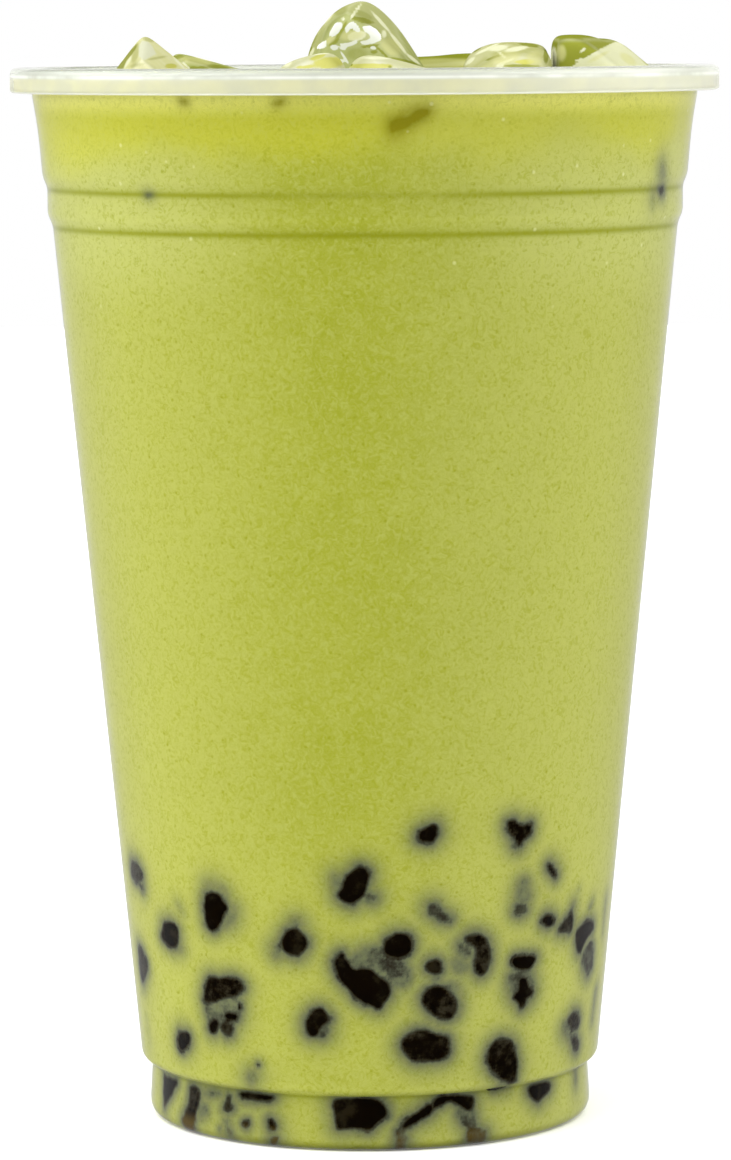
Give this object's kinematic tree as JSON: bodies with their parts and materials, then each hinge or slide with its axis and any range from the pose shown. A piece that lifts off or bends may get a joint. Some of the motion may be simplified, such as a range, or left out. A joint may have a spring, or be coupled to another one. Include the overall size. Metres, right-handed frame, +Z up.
{
  "type": "iced matcha latte",
  "caption": "Iced matcha latte in a clear tapered plastic cup with a rolled rim and stacking rings, ice standing out of the top and dark tapioca pearls showing near the foot.",
  "frame": {"origin": "centre of the foot ring, on the surface that the cup stands on", "axes": "+Z up along the axis of the cup, with the front towards -Y"},
  "size_m": [0.098, 0.098, 0.1543],
  "materials": {
    "clear_plastic": "clear glossy plastic, a little milky at the rim",
    "matcha_milk": "opaque yellow-green milk with fine tea specks",
    "clear_ice": "clear wet ice with melted edges",
    "tapioca_pearl": "glossy dark brown, nearly black"
  },
  "bodies": {
    "root": {"cup": "clear_plastic", "drink": "matcha_milk", "ice_left": "clear_ice", "ice_left_low": "clear_ice", "ice_middle": "clear_ice", "ice_front_left": "clear_ice", "ice_front": "clear_ice", "ice_back": "clear_ice", "ice_back_left": "clear_ice", "ice_back_right": "clear_ice", "ice_right_flat": "clear_ice", "ice_right": "clear_ice"}
  },
  "joints": []
}
